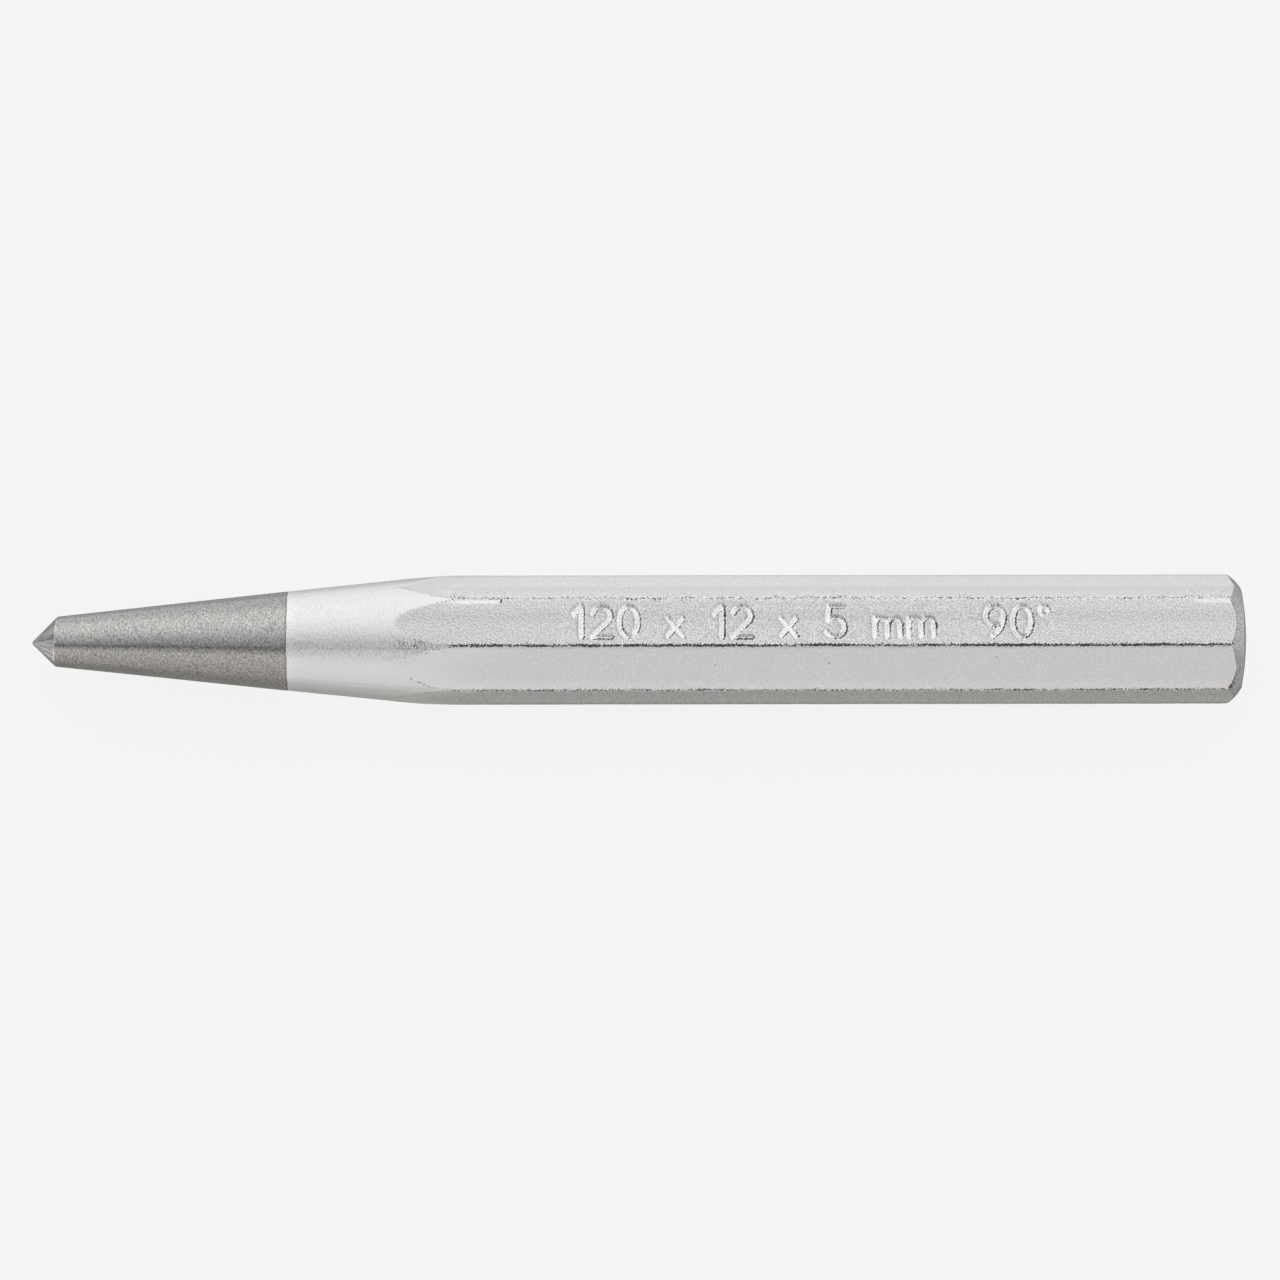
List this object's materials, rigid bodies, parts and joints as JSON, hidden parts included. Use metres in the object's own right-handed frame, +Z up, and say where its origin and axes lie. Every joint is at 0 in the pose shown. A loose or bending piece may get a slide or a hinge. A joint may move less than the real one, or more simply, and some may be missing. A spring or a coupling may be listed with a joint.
{
  "type": "center punch",
  "caption": "Solid octagonal steel center punch with a plated shank, a turned taper, a ground 90 degree point and a crowned, chamfered head for marking hole centres in metal.",
  "frame": {"origin": "on the surface that the punch lies on, under the middle of its length and width", "axes": "+X along the punch from its point to its head, +Z up out of the flat that carries the stamped size mark, +Y across the punch"},
  "size_m": [0.12, 0.012, 0.012],
  "materials": {
    "ground_steel": "satin",
    "satin_plating": "satin"
  },
  "bodies": {
    "root": {"forged_body": "ground_steel", "shank_plating": "satin_plating"}
  },
  "joints": []
}
